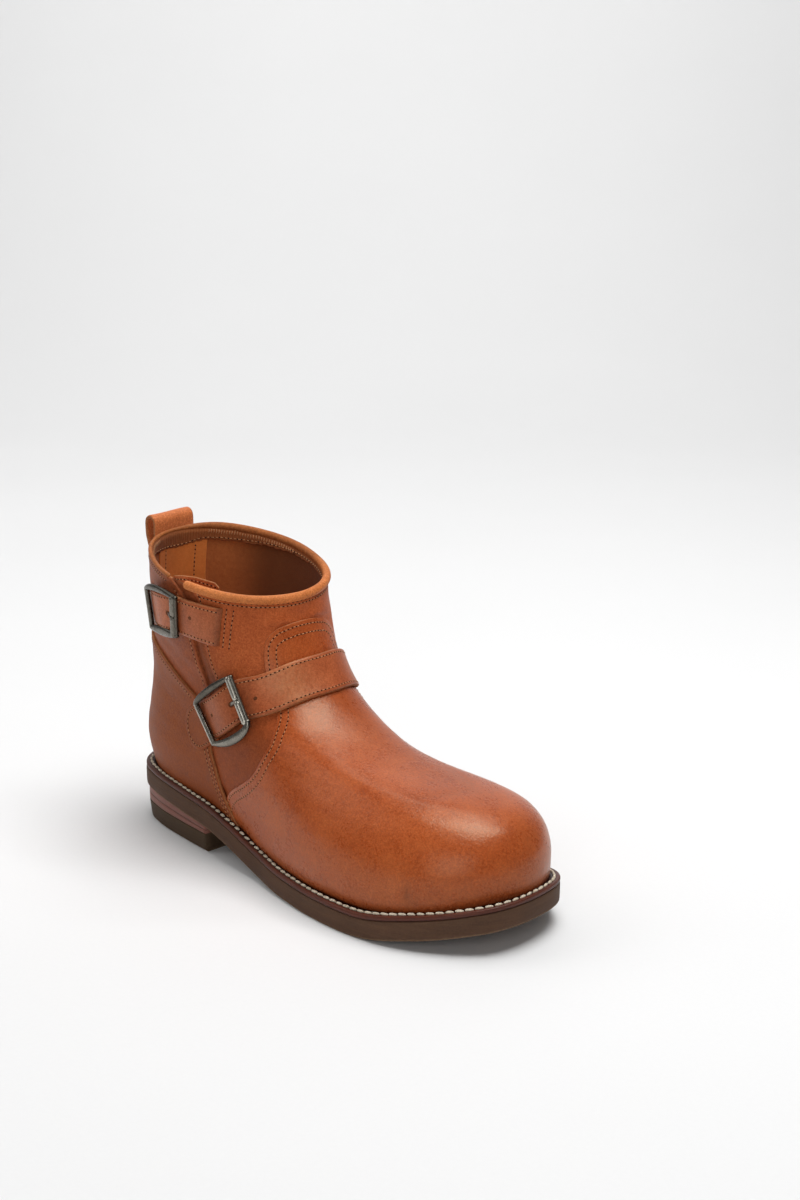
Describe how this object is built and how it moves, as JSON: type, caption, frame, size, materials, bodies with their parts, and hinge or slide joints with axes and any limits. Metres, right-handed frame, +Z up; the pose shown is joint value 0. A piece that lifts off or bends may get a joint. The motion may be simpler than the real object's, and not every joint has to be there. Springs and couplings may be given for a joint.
{
  "type": "engineer boot",
  "caption": "Right pull-on engineer boot in tan leather with a buckled instep strap, a buckled collar strap, a pull loop, a stitched welt and a low block heel.",
  "frame": {"origin": "middle of the box that bounds the boot, on the floor", "axes": "+X from heel to toe, +Y to the wearer's left (the medial side of this right boot), +Z up"},
  "size_m": [0.304, 0.1114, 0.1892],
  "materials": {
    "tan_leather": "smooth oiled leather, fine grain, soft sheen",
    "edge_leather": "dyed and waxed leather edge",
    "insole_leather": "matt",
    "sole_rubber": "matt, trimmed edge",
    "buckle_metal": "antique finish with worn bright edges"
  },
  "bodies": {
    "root": {"outsole": "sole_rubber", "welt": "edge_leather", "insole": "insole_leather", "heel_lift": "edge_leather", "heel_top_piece": "sole_rubber", "vamp": "tan_leather", "shaft": "tan_leather", "heel_counter": "tan_leather", "collar_binding": "tan_leather", "pull_loop": "tan_leather", "instep_strap_base": "tan_leather", "instep_strap": "tan_leather", "instep_buckle": "buckle_metal", "instep_buckle_prong": "buckle_metal", "top_strap_base": "tan_leather", "top_strap": "tan_leather", "top_buckle": "buckle_metal", "top_buckle_prong": "buckle_metal"}
  },
  "joints": []
}
